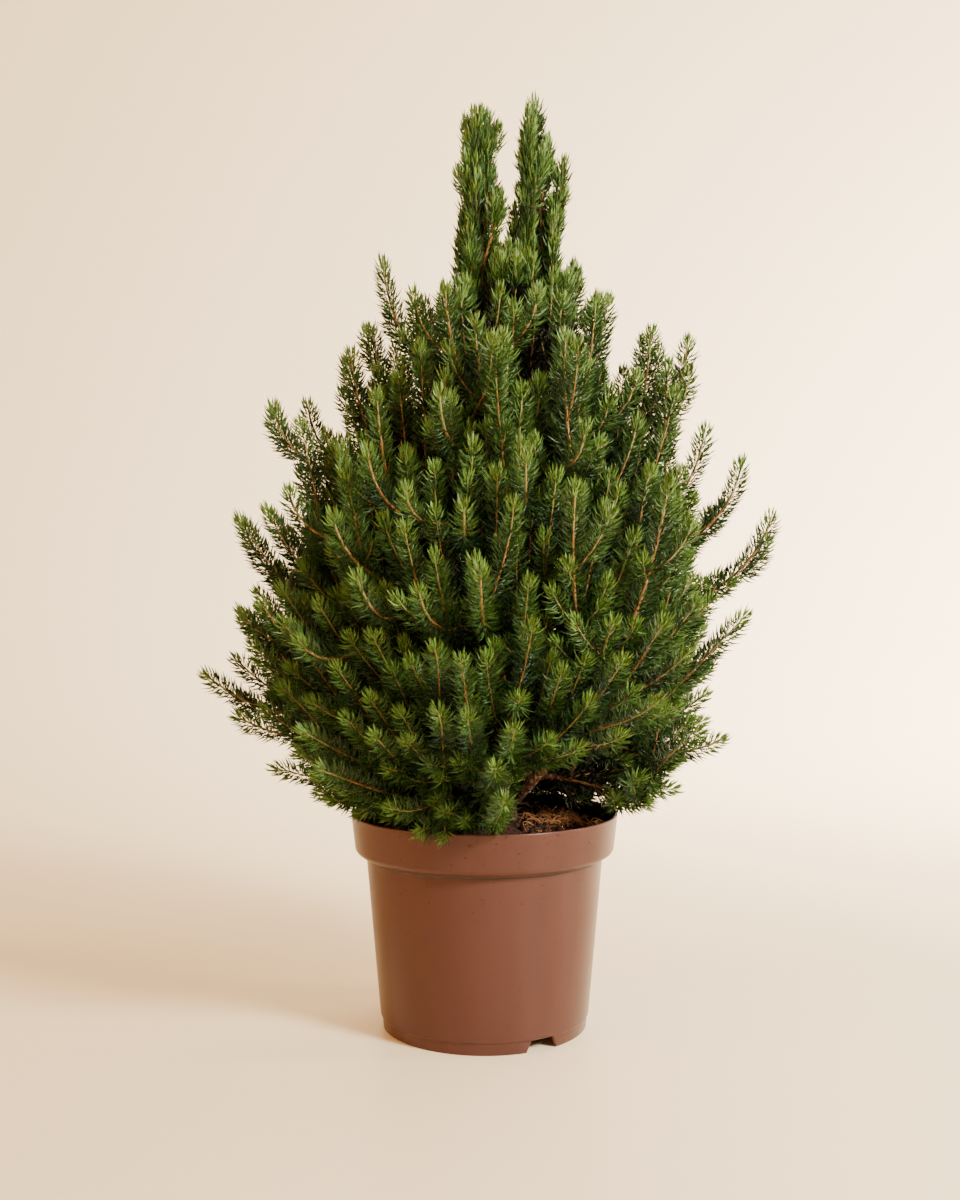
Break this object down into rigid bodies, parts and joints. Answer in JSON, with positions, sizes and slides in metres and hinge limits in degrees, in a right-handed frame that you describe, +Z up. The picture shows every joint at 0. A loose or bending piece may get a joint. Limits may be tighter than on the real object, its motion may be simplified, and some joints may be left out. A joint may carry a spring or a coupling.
{
  "type": "potted conifer",
  "caption": "Dwarf conical spruce with two leaders and upswept boughs, growing in a plain tapered nursery pot that stands on its flat underside.",
  "frame": {"origin": "middle of the pot's flat underside", "axes": "+Z up the pot and the trunk, -Y towards the front that is seen in the picture, +X to the right as seen from the front"},
  "size_m": [0.4089, 0.3163, 0.661],
  "materials": {
    "pot": "moulded terracotta-brown plastic with a satin sheen",
    "compost": "dark moist peat compost",
    "bark": "rough brown bark, orange-tan on young wood",
    "needles": "fresh to deep green needles, slightly glossy"
  },
  "bodies": {
    "root": {"pot": "pot", "compost": "compost", "trunk": "bark", "back_left_bough": "bark", "back_low_fork_bough": "bark", "back_right_bough": "bark", "far_right_bough": "bark", "front_left_fork_bough": "bark", "front_low_fork_bough": "bark", "front_right_bough": "bark", "left_fork_bough": "bark", "low_back_bough": "bark", "low_front_bough": "bark", "low_left_bough": "bark", "low_right_bough": "bark", "right_leader_bough": "bark", "rim_front_bough": "bark", "rim_left_bough": "bark", "rim_right_bough": "bark", "skirt_back_left_bough": "bark", "skirt_back_right_bough": "bark", "skirt_front_left_bough": "bark", "skirt_front_right_bough": "bark", "back_left_foliage": "needles", "back_low_fork_foliage": "needles", "back_right_foliage": "needles", "back_spire_foliage": "needles", "far_right_foliage": "needles", "front_left_fork_foliage": "needles", "front_low_fork_foliage": "needles", "front_right_foliage": "needles", "front_spire_foliage": "needles", "high_front_foliage": "needles", "high_front_right_foliage": "needles", "high_right_foliage": "needles", "left_fork_foliage": "needles", "left_leader_foliage": "needles", "left_spire_foliage": "needles", "low_back_foliage": "needles", "low_front_foliage": "needles", "low_left_foliage": "needles", "low_right_foliage": "needles", "mid_back_foliage": "needles", "mid_back_right_foliage": "needles", "mid_front_foliage": "needles", "mid_front_right_foliage": "needles", "mid_left_foliage": "needles", "right_leader_foliage": "needles", "right_spire_foliage": "needles", "rim_front_foliage": "needles", "rim_left_foliage": "needles", "rim_right_foliage": "needles", "skirt_back_left_foliage": "needles", "skirt_back_right_foliage": "needles", "skirt_front_left_foliage": "needles", "skirt_front_right_foliage": "needles", "upper_left_foliage": "needles", "upper_left_fork_foliage": "needles"}
  },
  "joints": []
}
